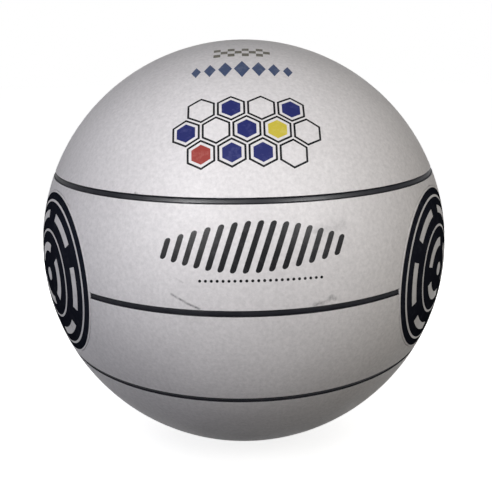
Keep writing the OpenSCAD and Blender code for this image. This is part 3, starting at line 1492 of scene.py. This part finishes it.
@dataclass
class Studio:
    """Pale floor, soft lights, white surroundings and the camera, in metres, degrees and pixels."""

    radius: float
    # The camera: its distance in radii of the ball, its angles, and its view in pixels of the photograph
    distance_radii: float = 3.25
    elevation: float = 15.8
    roll: float = -0.73
    focal_pixels: float = 621.0
    centre_pixel: Point = (244.1, 240.4)
    sensor_width: float = 36.0
    clip: Point = (0.01, 50.0)
    # The floor: its glow grows between two radii, and the ball sees a darker paper than the camera does
    floor_r: float = 6.0
    floor_sides: int = 96
    shadow_r: Point = (0.22, 0.5)
    glow: Point = (0.80, 1.0)
    paper: Colour = (0.7, 0.7, 0.7, 1.0)
    bounce: Colour = (0.09, 0.09, 0.09, 1.0)
    white: Colour = (1.0, 1.0, 1.0, 1.0)
    ambient: float = 0.01
    lamps: tuple[SoftBox, ...] = (
        SoftBox("key_softbox", -4.0, 35.0, 0.3, 0.15, 0.388),
        SoftBox("left_softbox", -42.0, 14.0, 0.424, 0.19, 0.366, (0.97, 0.98, 1.06)),
        SoftBox("right_softbox", 40.0, 19.0, 0.424, 0.19, 0.342, (1.05, 1.0, 0.88)),
        SoftBox("left_gloss_spot", -23.0, 26.0, 0.424, 0.02, 0.13, spread=24.0, diffuse=False),
        SoftBox("right_gloss_spot", 30.0, 26.0, 0.424, 0.02, 0.095, spread=24.0, diffuse=False),
        SoftBox("rear_left_softbox", -158.0, 12.0, 0.46, 0.3, 1.1, glossy=False),
        SoftBox("rear_right_softbox", 158.0, 12.0, 0.46, 0.3, 1.1, glossy=False),
    )

    def floor(self) -> None:
        """Lays the floor under the ball."""
        bm = bmesh.new()
        bmesh.ops.create_circle(bm, cap_ends=True, segments=self.floor_sides, radius=self.floor_r)
        bmesh.ops.translate(bm, vec=(0, 0, -self.radius), verts=bm.verts)
        mesh = bpy.data.meshes.new("studio_floor")
        bm.to_mesh(mesh)
        bm.free()
        mesh.materials.append(self.floor_paper())
        floor = bpy.data.objects.new("studio_floor", mesh)
        bpy.context.scene.collection.objects.link(floor)
        floor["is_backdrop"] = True

    def floor_paper(self) -> Material:
        """Makes the floor's material: white to the camera, with the ball's shadow near it.

        Returns:
            The material.
        """
        material = bpy.data.materials.new("floor_paper")
        sheet = NodeSheet(material)
        away = sheet.vector("LENGTH", sheet.place(), (0, 0, 0), "Value")
        glow = sheet.add("Emission", {"Strength": sheet.ramp(away, *self.shadow_r, *self.glow)}).outputs[0]
        paper = sheet.add("BsdfDiffuse", {"Color": self.paper}).outputs[0]
        seen = sheet.add("AddShader", {0: glow, 1: paper}).outputs[0]
        bounce = sheet.add("BsdfDiffuse", {"Color": self.bounce}).outputs[0]
        shader = sheet.add("MixShader", {0: self.is_seen(sheet), 1: bounce, 2: seen}).outputs[0]
        sheet.add("OutputMaterial", {"Surface": shader})
        return material

    @staticmethod
    def is_seen(sheet: NodeSheet) -> NodeSocket:
        """Tells the rays that show the surroundings themselves from those that light the ball.

        Args:
            sheet: Node sheet of the floor or the world.

        Returns:
            1 for camera, glossy and transmission rays, or 0.
        """
        path = sheet.add("LightPath").outputs
        seen = sheet.calc("MAXIMUM", path["Is Camera Ray"], path["Is Glossy Ray"])
        return sheet.calc("MAXIMUM", seen, path["Is Transmission Ray"])

    def world(self) -> None:
        """Makes white surroundings that add only a little light."""
        world = bpy.data.worlds.new("studio_world")
        bpy.context.scene.world = world
        sheet = NodeSheet(world)
        ambient = sheet.add("Background", {"Color": self.white, "Strength": self.ambient}).outputs[0]
        white = sheet.add("Background", {"Color": self.white, "Strength": 1.0}).outputs[0]
        mixed = sheet.add("MixShader", {0: self.is_seen(sheet), 1: ambient, 2: white}).outputs[0]
        sheet.add("OutputWorld", {"Surface": mixed})

    def camera(self) -> None:
        """Sets the camera at the photograph's angle, aimed so that the ball lies where it lies there."""
        back = on_ball(0.0, self.elevation)
        level = Vector((1.0, 0.0, 0.0))
        upright = back.cross(level)
        lean = math.radians(self.roll)
        right = math.cos(lean) * level + math.sin(lean) * upright
        up = math.cos(lean) * upright - math.sin(lean) * level
        distance = self.distance_radii * self.radius
        per_pixel = distance / self.focal_pixels
        aside = (IMAGE_WIDTH / 2 - self.centre_pixel[0]) * per_pixel
        below = (IMAGE_HEIGHT / 2 - self.centre_pixel[1]) * per_pixel
        aim = aside * right - below * up
        eye = distance * back
        away = (eye - aim).normalized()
        right = (right - right.dot(away) * away).normalized()
        up = away.cross(right)
        data = bpy.data.cameras.new("photo_camera")
        data.sensor_width = self.sensor_width
        data.lens = self.focal_pixels / IMAGE_WIDTH * self.sensor_width
        data.clip_start, data.clip_end = self.clip
        camera = bpy.data.objects.new("photo_camera", data)
        camera.matrix_world = Matrix.Translation(eye) @ Matrix((right, up, away)).transposed().to_4x4()
        bpy.context.scene.collection.objects.link(camera)
        bpy.context.scene.camera = camera

    def build(self) -> None:
        """Sets up the whole studio."""
        bpy.context.scene.view_settings.view_transform = "Standard"
        self.floor()
        self.world()
        for lamp in self.lamps:
            lamp.hang()
        self.camera()


def cover_finish(sizes: BallSizes, grain: Grain) -> CoverFinish:
    """Finish of the pale skin, with the scuffs of the front field first and then those of the other sides.

    Args:
        sizes: Sizes of the ball.
        grain: Grain of the skin.

    Returns:
        The finish.
    """
    scuffs = (
        Scuff(((-15.9, 3.9), (-12.2, 2.0), (-9.7, 1.0)), 0.75, 0.95),
        Scuff(((-14.6, 7.3), (-13.3, 6.6)), 0.6, 0.3),
        Scuff(((15.2, 1.1), (17.9, 1.6), (19.0, 2.5), (19.8, 2.0)), 1.4, 0.75),
        Scuff(((16.4, 16.9), (22.8, 17.9)), 3.4, 0.3),
        Scuff(((-26.9, 24.82), (-26.5, 24.82)), 0.9, 1.0),
        Scuff(((104.0, 5.6), (109.5, 3.4)), 0.8, 0.6),
        Scuff(((131.0, 44.0), (136.0, 47.5)), 1.6, 0.3),
        Scuff(((228.0, -8.0), (233.5, -5.2)), 1.2, 0.5),
        Scuff(((246.0, -42.0), (251.0, -47.0), (253.0, -46.0)), 1.5, 0.35),
        Scuff(((8.0, -62.0), (14.0, -65.0)), 1.3, 0.3),
    )
    return CoverFinish("cover_skin", tone(224, 221, 223), tone(216, 213, 215), tone(92, 92, 96), grain,
                       sizes.radius, scuffs)


def field_marks(grain: Grain) -> tuple[Mark, ...]:
    """Marks of a field: slanted bars and dots, a honeycomb, and a row of lozenges under a checker.

    Args:
        grain: Grain of the skin under the ink.

    Returns:
        The marks, with their inks and places.
    """
    charcoal = InkFinish("print_charcoal", tone(20, 20, 23), tone(56, 55, 58), grain)
    navy = InkFinish("print_navy", tone(38, 43, 98), tone(72, 76, 124), grain)
    slate = InkFinish("print_slate", tone(66, 78, 108), tone(104, 112, 132), grain)
    olive = InkFinish("print_olive", tone(104, 101, 92), tone(134, 131, 124), grain)
    yellow = InkFinish("print_yellow", tone(190, 174, 66), tone(204, 194, 120), grain)
    red = InkFinish("print_red", tone(146, 60, 55), tone(170, 104, 98), grain)
    navy_cells = HoneycombFill(chosen=((0, 1), (0, 3), (1, 0), (1, 2), (2, 1), (2, 2)))
    yellow_cells = HoneycombFill(chosen=((1, 3),))
    red_cells = HoneycombFill(chosen=((2, 0),))
    honeycomb_place = (1.2, 40.8)
    return (
        Mark("bar_print", SlantedBars(), charcoal, Slot.CHARCOAL, 2.0, 14.4),
        Mark("dot_print", DotRow(), charcoal, Slot.CHARCOAL, 3.6, 7.3),
        Mark("honeycomb_line_print", Honeycomb(), charcoal, Slot.CHARCOAL, *honeycomb_place),
        Mark("honeycomb_navy_print", navy_cells, navy, Slot.NAVY, *honeycomb_place),
        Mark("honeycomb_yellow_print", yellow_cells, yellow, Slot.YELLOW, *honeycomb_place),
        Mark("honeycomb_red_print", red_cells, red, Slot.RED, *honeycomb_place),
        Mark("lozenge_print", LozengeRow(), slate, Slot.NAVY, 0.0, 60.4),
        Mark("checker_print", Checker(), olive, Slot.GREY, 0.0, 69.4),
    )


def write_sizes() -> None:
    """Works out the frame's box and the dressed ball's box as plain lists, which are not kept."""
    boxes = {"cad": CAD_BOX, "visual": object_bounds()}
    plain = {name: [list(low), list(high)] for name, (low, high) in boxes.items()}


def main() -> None:
    """Builds the ball's pieces in order and sets up the studio."""
    logging.basicConfig(level=logging.INFO, format="%(name)s %(message)s")
    sizes = BallSizes.from_frame()
    grain = Grain(cell=0.9, depth=0.02)
    matt = Grain(cell=0.5, depth=0.015)
    fibre = Grain(cell=0.35, depth=0.03)
    skin = cover_finish(sizes, grain)
    dark = InkFinish("disc_dark", tone(28, 30, 39), tone(46, 48, 56), grain, specular=0.0)
    silver = InkFinish("print_silver", tone(206, 204, 206), tone(176, 175, 177), grain)
    seam = RubberFinish("seam_rubber", tone(25, 26, 32), tone(47, 47, 52), matt,
                        roughness=(0.40, 0.48), specular=0.08)
    boot = RubberFinish("housing_rubber", tone(84, 84, 88), tone(110, 110, 112), matt)
    plug = RubberFinish("plug_rubber", tone(48, 48, 51), tone(74, 74, 76), matt)
    yarn = YarnFinish("winding_yarn", tone(228, 221, 202), tone(172, 160, 130), fibre)
    carcass = RubberFinish("carcass_rubber", tone(70, 70, 73), tone(96, 95, 95), matt)
    bladder = RubberFinish("bladder_rubber", tone(40, 40, 41), tone(66, 65, 64), matt)
    patch = RubberFinish("patch_rubber", tone(112, 112, 116), tone(132, 131, 130), matt)
    layers = {"rubber_carcass": carcass, "bladder": bladder, "valve_patch": patch, "balance_patch": patch}
    CoverCaps(sizes, skin, seam).dress()
    CoverBands(sizes, skin, seam).dress()
    SideDiscs(sizes, skin, dark, silver).dress()
    SeamRibs(sizes, seam).dress()
    NeedleValve(boot, plug).dress()
    PrintedMarks(sizes, field_marks(grain)).dress()
    YarnWinding(yarn).dress()
    InnerLayers(layers).dress()
    Studio(sizes.radius * MM).build()
    write_sizes()


if __name__ == "__main__":
    main()
